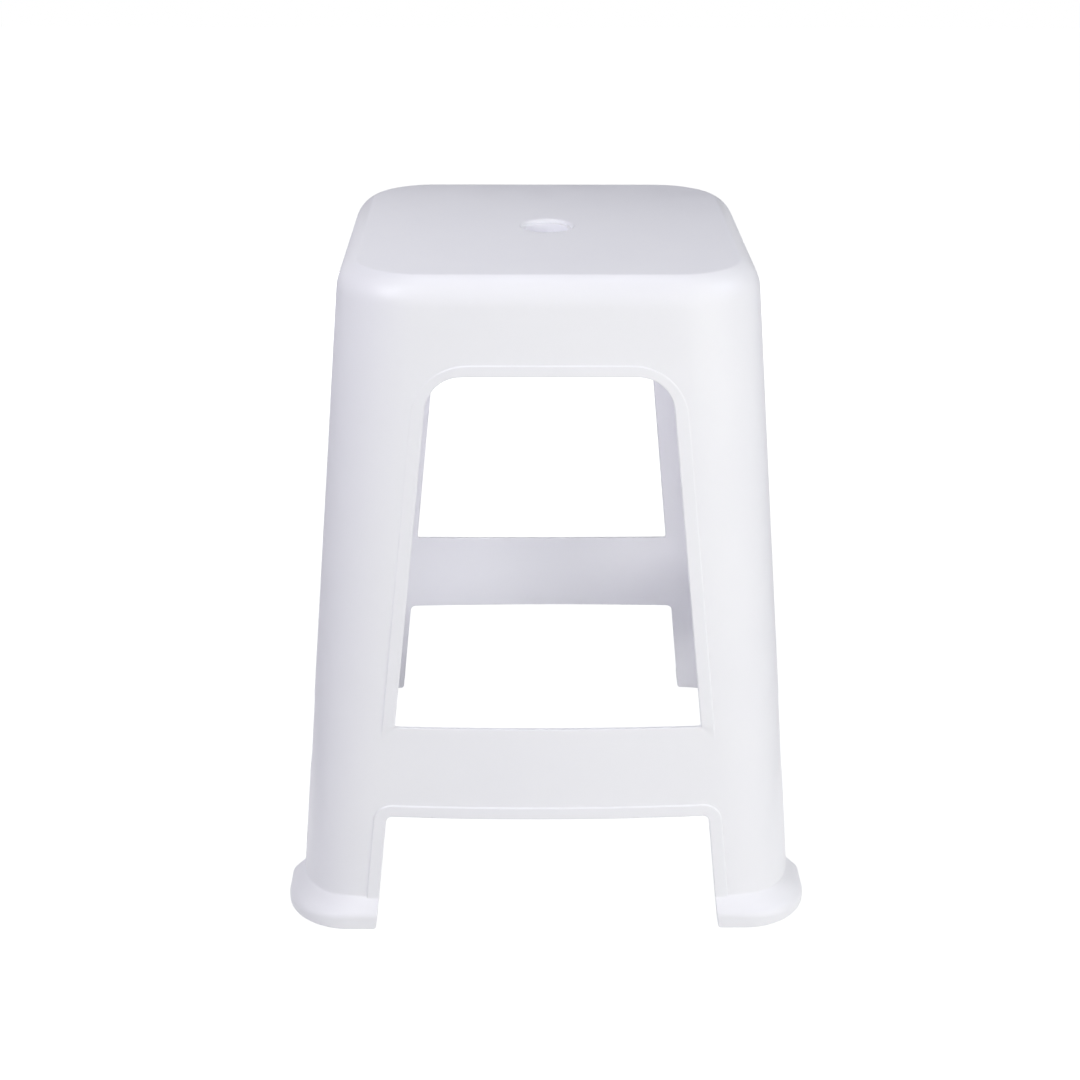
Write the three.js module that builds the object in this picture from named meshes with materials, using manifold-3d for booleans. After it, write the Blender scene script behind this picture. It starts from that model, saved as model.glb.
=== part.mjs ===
// Stacking stool: one moulded plastic body and an anti-slip pad in each of its four feet.
// Millimetres, +Z up. The origin is on the floor below the middle of the seat, and the front faces -Y.
// The four sides are alike, so each detail is made once and turned by quarter turns.

import * as THREE from 'three';
import { mergeVertices } from 'three/addons/utils/BufferGeometryUtils.js';
import Module from 'manifold-3d';

// Body: spans are measured across the flat sides, radii in plan
const stoolHeight = 450;
const seatSpan = 271.8;
const legSpan = 346.7;
const seatCornerRadius = 57;
const legCornerRadius = 48;
const seatEdgeRadius = 16.5;
const wall = 3;

// Openings: the leg widths run from the opening's edge to the leg's far side
const apronDepth = 62;
const legWidthAtApron = 63.9;
const legWidthAtFloor = 54.8;
const openingTopRadius = 19;
const openingBottomRadius = 1.5;

// Rungs
const rungTopHeight = 146.5;
const rungDepth = 65;
const rungBow = 3.8;
const rungCornerRadius = 4.5;

// Raised rims round the openings
const rimProud = 1;
const rimSideWidth = 8.6;
const rimTopWidth = 7.2;
const rimRungWidth = 8.2;
const rimTailLength = 8.6;

// Flared feet
const flareOut = 9;
const flareHeight = 21.5;
const flareLedgeSlope = 40;
const flareShoulderRadius = 4.5;
const flareCornerRadius = 45;
const footEdgeRadius = 2.5;

// Pads and the pockets that hold them
const pocketSkin = 2.5;
const pocketEndWall = 3.5;
const pocketDepth = 10.5;
const padProud = 0.5;
const padClearance = 0.3;

// Seat hole and its collar
const holeBore = 28;
const holeLipRadius = 3.5;
const collarWall = 2.5;
const collarDepth = 12;

// Under the seat: two ribs each way, with deeper ends as the stops that stand on the stool below
const ribSpacing = 120;
const ribThickness = 2.5;
const ribDepth = 10;
const stackPitch = 52;
const stopReach = 42;
const stopSlant = 12;

// How far a cutting shape runs past what it cuts
const overrun = 10;

// Facets
const sideSteps = 8;
const cornerSteps = 10;
const edgeSteps = 6;
const openingSteps = 6;
const filletSteps = 3;
const holeSteps = 32;
const weldDistance = 0.0001;

const quarterTurn = Math.PI / 2;
const sides = [0, 1, 2, 3];

const wasm = await Module();
wasm.setup();

// Lines that the whole body follows

const taper = (legSpan - seatSpan) / 2 / stoolHeight;
const taperAngle = Math.atan(taper);
const openingTop = stoolHeight - apronDepth;
const rungBottomHeight = rungTopHeight - rungDepth;
const bodyBottom = padProud;

// Half the span across the flat sides at a height, before the seat edge is rounded
function sideHalf(z) {
  return legSpan / 2 - taper * z;
}

// Radius in plan of the vertical corners at a height
function cornerRadius(z) {
  return legCornerRadius + (seatCornerRadius - legCornerRadius) * z / stoolHeight;
}

// Half the width of an opening at a height, out to the leg's edge
function openingHalf(z) {
  const share = z / openingTop;
  const legWidth = legWidthAtFloor + (legWidthAtApron - legWidthAtFloor) * share;
  return sideHalf(z) - legWidth;
}

// How far a side bulges in its middle: full at the rungs, and gone at the apron
function bow(z) {
  const share = (openingTop - z) / (openingTop - rungTopHeight);
  return rungBow * Math.min(Math.max(share, 0), 1);
}

// Rings and solids

// A rounded square in plan, anticlockwise from above, with sides that bulge by the given amount
function squareRing(z, half, radius, bulge = 0) {
  const flat = half - radius;
  const ring = [];
  for (const side of sides) {
    const turn = side * quarterTurn;
    for (let i = 1; i < sideSteps; i += 1) {
      const share = 2 * i / sideSteps - 1;
      const point = new THREE.Vector2(flat * share, -half - bulge * (1 - share * share));
      ring.push(point.rotateAround(new THREE.Vector2(), turn));
    }
    for (let i = 0; i <= cornerSteps; i += 1) {
      const angle = quarterTurn * (i / cornerSteps - 1);
      const point = new THREE.Vector2(flat + radius * Math.cos(angle), -flat + radius * Math.sin(angle));
      ring.push(point.rotateAround(new THREE.Vector2(), turn));
    }
  }
  return ring.map((point) => new THREE.Vector3(point.x, point.y, z));
}

function circleRing(z, radius) {
  const ring = [];
  for (let i = 0; i < holeSteps; i += 1) {
    const angle = 4 * quarterTurn * i / holeSteps;
    ring.push(new THREE.Vector3(radius * Math.cos(angle), radius * Math.sin(angle), z));
  }
  return ring;
}

// A closed geometry through rings stacked upwards, each with as many points as the last
function loft(rings) {
  const count = rings[0].length;
  const outline = rings[0].map((point) => new THREE.Vector2(point.x, point.y));
  const cap = THREE.ShapeUtils.triangulateShape(outline, []);
  const top = (rings.length - 1) * count;
  const index = [];
  for (const [a, b, c] of cap) {
    index.push(c, b, a);
    index.push(top + a, top + b, top + c);
  }
  for (let k = 0; k < rings.length - 1; k += 1) {
    for (let i = 0; i < count; i += 1) {
      const a = k * count + i;
      const b = k * count + (i + 1) % count;
      index.push(a, b, b + count);
      index.push(a, b + count, a + count);
    }
  }
  const geometry = new THREE.BufferGeometry();
  const places = rings.flat().flatMap((point) => [point.x, point.y, point.z]);
  geometry.setAttribute('position', new THREE.Float32BufferAttribute(places, 3));
  geometry.setIndex(index);
  return geometry;
}

function solid(geometry) {
  geometry.deleteAttribute('normal');
  geometry.deleteAttribute('uv');
  const welded = mergeVertices(geometry, weldDistance);
  const mesh = new wasm.Mesh({
    numProp: 3,
    vertProperties: new Float32Array(welded.attributes.position.array),
    triVerts: new Uint32Array(welded.index.array),
  });
  return new wasm.Manifold(mesh);
}

function geometryOf(manifold) {
  const mesh = manifold.getMesh();
  const geometry = new THREE.BufferGeometry();
  geometry.setAttribute('position', new THREE.BufferAttribute(mesh.vertProperties, 3));
  geometry.setIndex(new THREE.BufferAttribute(mesh.triVerts, 1));
  geometry.computeVertexNormals();
  return geometry;
}

function join(solids) {
  return solids.reduce((sum, next) => sum.add(next));
}

// One copy of what a function makes for each quarter turn
function onEachSide(makeGeometry) {
  return join(sides.map((side) => solid(makeGeometry().rotateZ(side * quarterTurn))));
}

// An upright plate cut to an outline of (across, up) points, running through the stool from front to rear
function throughPlate(outline) {
  const shape = new THREE.Shape(outline);
  const depth = legSpan + 2 * (flareOut + overrun);
  const geometry = new THREE.ExtrudeGeometry(shape, { depth, bevelEnabled: false });
  return geometry.translate(0, 0, -depth / 2).rotateX(quarterTurn);
}

function throughBothWays(outline) {
  const along = solid(throughPlate(outline));
  const across = solid(throughPlate(outline).rotateZ(quarterTurn));
  return along.add(across);
}

// Points of the arc that rounds a corner of an outline between its neighbours
function roundedCorner(before, corner, after, radius, steps) {
  const back = before.clone().sub(corner).normalize();
  const ahead = after.clone().sub(corner).normalize();
  const halfAngle = Math.acos(back.dot(ahead)) / 2;
  const centreReach = radius / Math.sin(halfAngle);
  const centre = back.clone().add(ahead).setLength(centreReach).add(corner);
  const start = back.clone().multiplyScalar(radius / Math.tan(halfAngle)).add(corner);
  const sweep = Math.PI - 2 * halfAngle;
  const direction = -Math.sign(back.cross(ahead));
  const points = [];
  for (let i = 0; i <= steps; i += 1) {
    points.push(start.clone().rotateAround(centre, direction * sweep * i / steps));
  }
  return points;
}

// Mirrors the right half of an outline, given from the bottom up, into a whole one
function mirrored(rightHalf) {
  const leftHalf = rightHalf.map((point) => new THREE.Vector2(-point.x, point.y)).reverse();
  return [...rightHalf, ...leftHalf];
}

// Body shell

// Rings of the body's surface, moved out by an offset, or in where it is negative, up to the seat top
function bodyRings(offset, bottom) {
  const edgeRadius = seatEdgeRadius + offset;
  const centreHeight = stoolHeight - seatEdgeRadius;
  const centreHalf = sideHalf(centreHeight) - seatEdgeRadius / Math.cos(taperAngle);
  const slopeOffset = offset / Math.cos(taperAngle);
  const rings = [bottom, rungTopHeight, openingTop].map((z) => (
    squareRing(z, sideHalf(z) + slopeOffset, cornerRadius(z) + slopeOffset, bow(z))
  ));
  for (let i = 0; i <= edgeSteps; i += 1) {
    const angle = taperAngle + (quarterTurn - taperAngle) * i / edgeSteps;
    const half = centreHalf + edgeRadius * Math.cos(angle);
    const radius = half - sideHalf(centreHeight) + cornerRadius(centreHeight);
    rings.push(squareRing(centreHeight + edgeRadius * Math.sin(angle), half, radius));
  }
  return rings;
}

function bodySolid(offset, bottom) {
  return solid(loft(bodyRings(offset, bottom)));
}

// A skirt round the bottom: upright, then rounded over a shoulder and up a ledge to the legs' surface
function flareRings() {
  const faceHalf = legSpan / 2 + flareOut;
  const topHalf = sideHalf(flareHeight);
  const ledge = THREE.MathUtils.degToRad(flareLedgeSlope);
  const shoulderTurn = quarterTurn - ledge;
  const ledgeHalf = faceHalf - flareShoulderRadius * (1 - Math.cos(shoulderTurn));
  const ledgeRise = (ledgeHalf - topHalf) * Math.tan(ledge);
  const shoulderHeight = flareHeight - ledgeRise - flareShoulderRadius * Math.sin(shoulderTurn);
  const flareRing = (z, half) => {
    const share = (faceHalf - half) / (faceHalf - topHalf);
    const radius = flareCornerRadius + (cornerRadius(flareHeight) - flareCornerRadius) * share;
    return squareRing(z, half, radius, rungBow * share);
  };
  const rings = [flareRing(bodyBottom, faceHalf)];
  for (let i = 0; i <= filletSteps; i += 1) {
    const angle = shoulderTurn * i / filletSteps;
    const half = faceHalf - flareShoulderRadius * (1 - Math.cos(angle));
    rings.push(flareRing(shoulderHeight + flareShoulderRadius * Math.sin(angle), half));
  }
  return rings;
}

function upperOpeningOutline() {
  const low = new THREE.Vector2(openingHalf(rungTopHeight), rungTopHeight);
  const high = new THREE.Vector2(openingHalf(openingTop), openingTop);
  const lowMiddle = new THREE.Vector2(0, rungTopHeight);
  const highMiddle = new THREE.Vector2(0, openingTop);
  return mirrored([
    ...roundedCorner(lowMiddle, low, high, openingBottomRadius, filletSteps),
    ...roundedCorner(low, high, highMiddle, openingTopRadius, openingSteps),
  ]);
}

// Down to the floor between the legs, with the feet's lower edges rounded
function lowerOpeningOutline() {
  const high = new THREE.Vector2(openingHalf(rungBottomHeight), rungBottomHeight);
  const highMiddle = new THREE.Vector2(0, rungBottomHeight);
  const foot = new THREE.Vector2(openingHalf(bodyBottom), bodyBottom);
  const beyondFoot = new THREE.Vector2(legSpan / 2, bodyBottom);
  const rounded = roundedCorner(beyondFoot, foot, high, footEdgeRadius, filletSteps);
  return mirrored([
    new THREE.Vector2(rounded[0].x, bodyBottom - overrun),
    ...rounded,
    ...roundedCorner(foot, high, highMiddle, rungCornerRadius, filletSteps),
  ]);
}

// The upper rim's outside. Its tails pass the rung's top edge and end on a slant at the opening's corners
function upperRimOutline() {
  const tailEnd = rungTopHeight - rimTailLength;
  const rimTop = openingTop + rimTopWidth;
  const tail = new THREE.Vector2(openingHalf(tailEnd) + rimSideWidth, tailEnd);
  const inside = new THREE.Vector2(openingHalf(rungTopHeight) - rimSideWidth, rungTopHeight + rimTailLength);
  const high = new THREE.Vector2(openingHalf(rimTop) + rimSideWidth, rimTop);
  const highMiddle = new THREE.Vector2(0, rimTop);
  return mirrored([
    inside,
    tail,
    ...roundedCorner(tail, high, highMiddle, openingTopRadius + rimTopWidth, openingSteps),
  ]);
}

// The lower rim's outside: down both legs, and along the rung's lower edge
function lowerRimOutline() {
  const bottom = bodyBottom - overrun;
  const rimTop = rungBottomHeight + rimRungWidth;
  const low = new THREE.Vector2(openingHalf(bottom) + rimSideWidth, bottom);
  const high = new THREE.Vector2(openingHalf(rimTop) + rimSideWidth, rimTop);
  const highMiddle = new THREE.Vector2(0, rimTop);
  return mirrored([
    low,
    ...roundedCorner(low, high, highMiddle, rungCornerRadius + rimRungWidth, openingSteps),
  ]);
}

function rims() {
  const bands = throughBothWays(upperRimOutline()).add(throughBothWays(lowerRimOutline()));
  return bodySolid(rimProud, flareHeight / 2).intersect(bands);
}

// Foot pockets and pads

// The band under one foot that a pocket or its pad fills, set in from the pocket's walls by a gap
function footBand(gap, bottom, top) {
  const outerHalf = legSpan / 2 + flareOut - pocketSkin - gap;
  const outerRadius = flareCornerRadius - pocketSkin - gap;
  const innerHalf = legSpan / 2 + gap;
  const innerRadius = legCornerRadius + gap;
  const outer = solid(loft([bottom, top].map((z) => squareRing(z, outerHalf, outerRadius))));
  const innerLevels = [bottom - overrun, top + overrun];
  const inner = solid(loft(innerLevels.map((z) => squareRing(z, innerHalf, innerRadius))));
  const end = openingHalf(0) + pocketEndWall + gap;
  const reach = legSpan / 2 + flareOut - end;
  const height = top - bottom + 2 * overrun;
  const corner = new THREE.BoxGeometry(reach, reach, height);
  corner.translate(end + reach / 2, -end - reach / 2, (bottom + top) / 2);
  return outer.subtract(inner).intersect(solid(corner));
}

function pockets() {
  const pocket = geometryOf(footBand(0, bodyBottom - overrun, bodyBottom + pocketDepth));
  return onEachSide(() => pocket.clone());
}

function padGeometry() {
  return geometryOf(footBand(padClearance, 0, bodyBottom + pocketDepth - padClearance));
}

// Under the seat

function collar() {
  const radius = holeBore / 2 + collarWall;
  return solid(loft([stoolHeight - collarDepth, stoolHeight - wall / 2].map((z) => circleRing(z, radius))));
}

function holeCut() {
  const bore = holeBore / 2;
  const rings = [circleRing(stoolHeight - collarDepth - overrun, bore)];
  for (let i = 0; i <= filletSteps; i += 1) {
    const angle = quarterTurn * i / filletSteps;
    const radius = bore + holeLipRadius * (1 - Math.cos(angle));
    rings.push(circleRing(stoolHeight - holeLipRadius * (1 - Math.sin(angle)), radius));
  }
  rings.push(circleRing(stoolHeight + overrun, bore + holeLipRadius));
  return solid(loft(rings));
}

// A grid of ribs. Where they meet the walls they go down as far as the seat of the stool below
function ribs() {
  const top = stoolHeight - wall / 2;
  const ribBottom = stoolHeight - wall - ribDepth;
  const stopBottom = stoolHeight - stackPitch;
  const tip = sideHalf(stopBottom) - stopReach;
  const outline = new THREE.Shape(mirrored([
    new THREE.Vector2(tip - stopSlant, ribBottom),
    new THREE.Vector2(tip, stopBottom),
    new THREE.Vector2(legSpan, stopBottom),
    new THREE.Vector2(legSpan, top),
  ]));
  return onEachSide(() => {
    const rib = new THREE.ExtrudeGeometry(outline, { depth: ribThickness, bevelEnabled: false });
    return rib.translate(0, 0, (ribSpacing - ribThickness) / 2).rotateX(quarterTurn);
  });
}

function bodyGeometry() {
  const hollow = bodySolid(-wall, bodyBottom - overrun);
  const stiffening = ribs().intersect(bodySolid(-wall / 2, bodyBottom));
  const outside = solid(loft([...flareRings(), ...bodyRings(0, flareHeight)]));
  const shell = outside.add(rims()).subtract(hollow);
  const openings = throughBothWays(upperOpeningOutline()).add(throughBothWays(lowerOpeningOutline()));
  const open = shell.subtract(openings).subtract(pockets());
  return geometryOf(join([open, stiffening, collar()]).subtract(holeCut()));
}

// The stool

const bodyPlastic = new THREE.MeshStandardMaterial({ color: 0xf0f1f3, roughness: 0.42, metalness: 0 });
const padRubber = new THREE.MeshStandardMaterial({ color: 0xa8abaf, roughness: 0.85, metalness: 0 });

const stool = new THREE.Group();

const body = new THREE.Mesh(bodyGeometry(), bodyPlastic);
body.name = 'stool_body';
stool.add(body);

const padNames = ['foot_pad_front_right', 'foot_pad_rear_right', 'foot_pad_rear_left', 'foot_pad_front_left'];
padNames.forEach((name, side) => {
  const pad = new THREE.Mesh(padGeometry(), padRubber.clone());
  pad.name = name;
  pad.rotation.z = side * quarterTurn;
  stool.add(pad);
});

export default stool;
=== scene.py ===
"""A moulded plastic stacking stool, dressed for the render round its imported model.

Sizes are in millimetres and become metres where a mesh, light or camera is made. +Z is up and the front
faces -Y. The body is one mesh: half of one side is laid out as quad patches, and mirrored and turned eight
times round the seat. A place on a side is given by its distance from the side's middle, its height and how
far it lies out of the body's surface.
"""

from math import acos, atan, cos, degrees, hypot, pi, radians, sin, sqrt, tan
from typing import NamedTuple

import bmesh
import bpy
from mathutils import Matrix, Vector


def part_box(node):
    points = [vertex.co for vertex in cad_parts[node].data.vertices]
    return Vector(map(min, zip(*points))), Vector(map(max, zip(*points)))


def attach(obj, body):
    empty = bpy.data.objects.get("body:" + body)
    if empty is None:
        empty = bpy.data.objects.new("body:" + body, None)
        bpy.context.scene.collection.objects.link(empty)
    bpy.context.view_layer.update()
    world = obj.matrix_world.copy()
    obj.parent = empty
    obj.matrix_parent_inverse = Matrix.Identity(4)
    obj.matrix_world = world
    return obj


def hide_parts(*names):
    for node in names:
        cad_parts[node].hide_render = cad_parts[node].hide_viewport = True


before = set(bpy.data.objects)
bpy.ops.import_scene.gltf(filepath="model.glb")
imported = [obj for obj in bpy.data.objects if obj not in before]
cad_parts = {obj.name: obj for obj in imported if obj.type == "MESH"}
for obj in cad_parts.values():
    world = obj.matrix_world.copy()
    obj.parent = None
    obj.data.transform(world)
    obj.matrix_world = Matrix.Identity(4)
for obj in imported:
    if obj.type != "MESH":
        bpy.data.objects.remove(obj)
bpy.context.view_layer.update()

MM = 0.001
body_low, body_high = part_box("stool_body")
pad_low, pad_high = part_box("foot_pad_front_right")

# Body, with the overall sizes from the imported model
STOOL_HEIGHT = body_high.z / MM
FOOT_HALF = body_high.x / MM
BODY_BOTTOM = body_low.z / MM
FLARE_OUT = 9
LEG_SPAN = 2 * (FOOT_HALF - FLARE_OUT)
SEAT_SPAN = 271.8
SEAT_CORNER_RADIUS = 57
LEG_CORNER_RADIUS = 48
SEAT_EDGE_RADIUS = 22
SEAT_CREASE = radians(26)
SEAT_CREASE_RADIUS = 5
WALL = 3
EDGE_RADIUS = 0.8

# Openings
APRON_DEPTH = 62
LEG_WIDTH_AT_APRON = 63.9
LEG_WIDTH_AT_FLOOR = 54.8
OPENING_TOP_RADIUS = 24.5
OPENING_BOTTOM_RADIUS = 1.5

# Rungs
RUNG_TOP = 147.5
RUNG_BOTTOM = 82.1
RUNG_TOP_DIP = 0.95
RUNG_BOTTOM_DIP = 0.4
RUNG_TOP_BOW = 1.3
RUNG_BOW = 3.9
RUNG_CORNER_RADIUS = 4.5

# Raised rims
RIM_PROUD = 1
RIM_PROUD_AT_SIDES = 0.4
RIM_SIDE_WIDTH = 8.6
RIM_TOP_WIDTH = 7.2
RIM_RUNG_WIDTH = 8.2
RIM_TOP_CORNER_RADIUS = 37
RIM_SHARE_AT_LEGS = 0.3
RIM_FADE = (170, 330)
RIM_STEP_HALF = 0.6
# Over the rim's step: shares of its half width, from outside the rim inwards, and of its rise
RIM_STEP = ((1, 0), (0.5, 0.14), (0, 0.5), (-0.5, 0.86), (-1, 1))

# Feet
FLARE_CORNER_RADIUS = 45
LEDGE_ROOT_RADIUS = 1.6
FOOT_EDGE_RADIUS = 2.5
POCKET_SKIN = 2.5
POCKET_END_WALL = 3.5
POCKET_DEPTH = 10.5
POCKET_SLANT = 4
PAD_CLEARANCE = 0.3
PAD_EDGE_RADIUS = 0.8

# Seat hole and its collar
HOLE_BORE_RADIUS = 13
HOLE_MOUTH_RADIUS = 14.6
HOLE_STEP_RADIUS = 17.3
HOLE_LIP_RADIUS = 2.4
HOLE_STEP_EDGE_RADIUS = 0.5
COLLAR_WALL = 4.5
COLLAR_DEPTH = 12
COLLAR_ROOT_RADIUS = 1.2

# Ribs under the seat, with deep ends as stacking stops
RIB_SPACING = 120
RIB_THICKNESS = 2.5
RIB_DEPTH = 10
STACK_PITCH = 52
STOP_REACH = 42
STOP_SLANT = 12
RIB_EDGE_RADIUS = 0.6
ROUND_PROFILE = 0.5

# How the patches are divided
RING_WIDTH = 12
MIDDLE_STEPS = 10
CORNER_STEPS = 8
TOP_CORNER_STEPS = 12
TOP_STEPS = 8
WINDOW_SIDE_STEPS = 14
LEG_SIDE_STEPS = 5
RUNG_ROWS = 4
LEG_COLUMNS = 12
APRON_ROWS = 3
SEAT_EDGE_ROWS = 9
CREASE_ROWS = 4
SEAT_ROWS = 7
EDGE_STEPS = 3
ROOT_STEPS = 4
SHOULDER_STEPS = 5
LIP_STEPS = 5
PAD_COLUMNS = 24
WELD = 0.005
SHARP = radians(38)

EIGHTH = pi / 4
QUARTER = pi / 2

TAPER = (LEG_SPAN - SEAT_SPAN) / 2 / STOOL_HEIGHT
TAPER_ANGLE = atan(TAPER)
OPENING_TOP = STOOL_HEIGHT - APRON_DEPTH
POCKET_END = LEG_SPAN / 2 - LEG_WIDTH_AT_FLOOR + POCKET_END_WALL
CREASE_START = QUARTER - SEAT_CREASE
CREASE_SHIFT = SEAT_EDGE_RADIUS - SEAT_CREASE_RADIUS
SEAT_CENTRE = STOOL_HEIGHT - SEAT_CREASE_RADIUS - CREASE_SHIFT * sin(CREASE_START)
SEAT_CENTRE_HALF = LEG_SPAN / 2 - TAPER * SEAT_CENTRE - SEAT_EDGE_RADIUS / cos(TAPER_ANGLE)


# Lines that the whole body follows


def side_half(z):
    """Half the span across the flat sides at a height."""
    return LEG_SPAN / 2 - TAPER * z


def corner_radius(z):
    return LEG_CORNER_RADIUS + (SEAT_CORNER_RADIUS - LEG_CORNER_RADIUS) * z / STOOL_HEIGHT


def opening_half(z):
    """Half the width of an opening, out to the leg's edge."""
    share = z / OPENING_TOP
    return side_half(z) - LEG_WIDTH_AT_FLOOR - (LEG_WIDTH_AT_APRON - LEG_WIDTH_AT_FLOOR) * share


def bow(z):
    """How far a side's middle bulges: fully below the rungs, less at their tops and not at the apron."""
    above = (OPENING_TOP - z) / (OPENING_TOP - RUNG_TOP)
    down = (RUNG_TOP - z) / (RUNG_TOP - RUNG_BOTTOM)
    return RUNG_TOP_BOW * min(max(above, 0), 1) + (RUNG_BOW - RUNG_TOP_BOW) * min(max(down, 0), 1)


def ease(low, high, value):
    """0 below low, 1 above high, and a smooth rise between."""
    share = min(max((value - low) / (high - low), 0), 1)
    return share * share * (3 - 2 * share)


class Flare(NamedTuple):
    """A foot's section: the height of its ledge's root, the ledge's slope and its shoulder's radius."""

    height: float
    slope: float
    shoulder: float


FRONT_FLARE = Flare(20.3, radians(40), 5)
SIDE_FLARE = Flare(16.6, radians(40), 8)
CORNER_FLARE = Flare(17.8, radians(37.5), 7.5)


class Row(NamedTuple):
    """A rounded square in plan at a height. The drop is how far its place falls with each millimetre out."""

    z: float
    half: float
    radius: float
    bulge: float
    drop: float = 0


def row_at(z):
    return Row(z, side_half(z), corner_radius(z), bow(z))


def flat_of(row):
    """Where a row's flat side ends and its round corner begins."""
    return row.half - row.radius


def reach_of(row):
    """Distance along a row from the side's middle to the corner's middle."""
    return flat_of(row) + row.radius * EIGHTH


def place(across, row, out=0.0):
    """The point at a distance from the side's middle, on the half of the front side towards +X."""
    flat = flat_of(row)
    slope = 2 * row.bulge / flat
    z = row.z - out * row.drop
    out /= cos(TAPER_ANGLE)
    if across <= flat:
        share = across / flat
        return Vector((across, -row.half - row.bulge * (1 - share * share) - out, z))
    along = across - flat
    left = 1 - along / (row.radius * EIGHTH)
    radius = row.radius + out - slope * along * left * left
    angle = along / row.radius
    return Vector((flat + radius * sin(angle), -flat - radius * cos(angle), z))


# Outlines of the openings, in distance across and height


class Spot(NamedTuple):
    """A point of an opening's outline, and where the rings round the opening take it.

    heading is the way out for round rings, and square the way out for the last ring, which has square corners.
    rim is the raised rim's width there, and raised how much of its height it has. A spot of the foot also has
    its rows: outer, inner and how far the sole's edge is tucked in, first by the opening, then at the corner.
    """

    point: Vector
    heading: Vector
    square: Vector
    rim: float
    raised: float
    rows: tuple = None


def unit(vector):
    return vector / hypot(*vector)


def corner_arc(before, corner, after, radius, steps):
    """The centre and points of the arc that rounds a corner between its neighbours."""
    back = unit(before - corner)
    ahead = unit(after - corner)
    half_angle = acos(back.dot(ahead)) / 2
    centre = corner + unit(back + ahead) * radius / sin(half_angle)
    start = corner + back * radius / tan(half_angle)
    sweep = (pi - 2 * half_angle) * (-1 if back.x * ahead.y - back.y * ahead.x > 0 else 1)
    points = []
    for i in range(steps + 1):
        turn = Matrix.Rotation(sweep * i / steps, 2)
        points.append(centre + turn @ (start - centre))
    return centre, points


def corner_spots(before, corner, after, radius, steps, rims, raises, tight):
    """Spots of a rounded corner. A tight corner keeps every ring square, and has no rim before its middle."""
    centre, points = corner_arc(before, corner, after, radius, steps)
    first, last = unit(points[0] - centre), unit(points[-1] - centre)
    miter = (first + last) / (1 + first.dot(last))
    spots = []
    for i, point in enumerate(points):
        share = i / steps
        ends = (points[0], first) if share < 0.5 else (points[-1], last)
        toward = 2 * share if share < 0.5 else 2 - 2 * share
        target = corner + miter * RING_WIDTH
        edge = ends[0] + ends[1] * RING_WIDTH
        square = (edge + (target - edge) * toward - point) / RING_WIDTH
        heading = square if tight else unit(point - centre)
        rim = rims[0] + (rims[1] - rims[0]) * ease(0, 1, share)
        raised = raises[0] + (raises[1] - raises[0]) * ease(0.5, 1, share)
        spots.append(Spot(point, heading, square, rim, raised))
    return spots


def rim_share(z):
    """How much of its height a rim has beside an opening."""
    return 1 - (1 - RIM_SHARE_AT_LEGS) * ease(*RIM_FADE, z)


def straight_spots(start, end, steps, heading, rim, raised):
    """Spots along a straight edge, without its two ends."""
    spots = []
    for i in range(1, steps):
        point = start + (end - start) * i / steps
        spots.append(Spot(point, heading, heading, rim, raised))
    return spots


def narrowed(spots, centre):
    """Spots whose raised rim ends at the round outline of its upper corner."""
    changed = []
    for spot in spots:
        gap = spot.point - centre
        if min(gap) > 0:
            along = spot.heading.dot(gap)
            size = spot.heading.length_squared
            spare = size * (RIM_TOP_CORNER_RADIUS ** 2 - gap.length_squared)
            spot = spot._replace(rim=(sqrt(along * along + spare) - along) / size)
        changed.append(spot)
    return changed


def dipped(spots, dip):
    """Spots of a rung's edge, lower in the middle."""
    end = spots[-1].point.x
    lowered = []
    for spot in spots[:-1]:
        share = spot.point.x / end
        lowered.append(spot._replace(point=spot.point - Vector((0, dip * (1 - share * share)))))
    return lowered


# Level, and longer than 1 by the lean of the opening's side, so that rings keep their distance from it
SIDE_HEADING = Vector((1 / cos(atan(opening_half(0) - opening_half(1))), 0))
UP = Vector((0, 1))
DOWN = Vector((0, -1))


def window_spots():
    """Round the upper opening, from the middle of the rung to the middle of the apron."""
    low_middle = Vector((0, RUNG_TOP))
    low = Vector((opening_half(RUNG_TOP), RUNG_TOP))
    high = Vector((opening_half(OPENING_TOP), OPENING_TOP))
    high_middle = Vector((0, OPENING_TOP))
    lower = corner_spots(
        low_middle, low, high, OPENING_BOTTOM_RADIUS, CORNER_STEPS,
        (RIM_SIDE_WIDTH, RIM_SIDE_WIDTH), (0, 1), True,
    )
    upper = corner_spots(
        low, high, high_middle, OPENING_TOP_RADIUS, TOP_CORNER_STEPS,
        (RIM_SIDE_WIDTH, RIM_TOP_WIDTH), (RIM_SHARE_AT_LEGS, 1), False,
    )
    start = [Spot(low_middle, DOWN, DOWN, RIM_SIDE_WIDTH, 0)]
    bottom = straight_spots(low_middle, lower[0].point, MIDDLE_STEPS, DOWN, RIM_SIDE_WIDTH, 0)
    side = straight_spots(
        lower[-1].point, upper[0].point, WINDOW_SIDE_STEPS, SIDE_HEADING, RIM_SIDE_WIDTH, 1
    )
    side = [spot._replace(raised=rim_share(spot.point.y)) for spot in side]
    top = straight_spots(upper[-1].point, high_middle, TOP_STEPS, UP, RIM_TOP_WIDTH, 1)
    end = [Spot(high_middle, UP, UP, RIM_TOP_WIDTH, 1)]
    bottom = dipped([*start, *bottom, lower[0]], RUNG_TOP_DIP)
    rim_top = OPENING_TOP + RIM_TOP_WIDTH
    centre = corner_arc(
        low + SIDE_HEADING * RIM_SIDE_WIDTH,
        Vector((opening_half(rim_top), rim_top)) + SIDE_HEADING * RIM_SIDE_WIDTH,
        Vector((0, rim_top)),
        RIM_TOP_CORNER_RADIUS,
        1,
    )[0]
    side, upper, top = [narrowed(part, centre) for part in (side, upper, top)]
    return bottom, lower, side, upper, top + end


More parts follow.
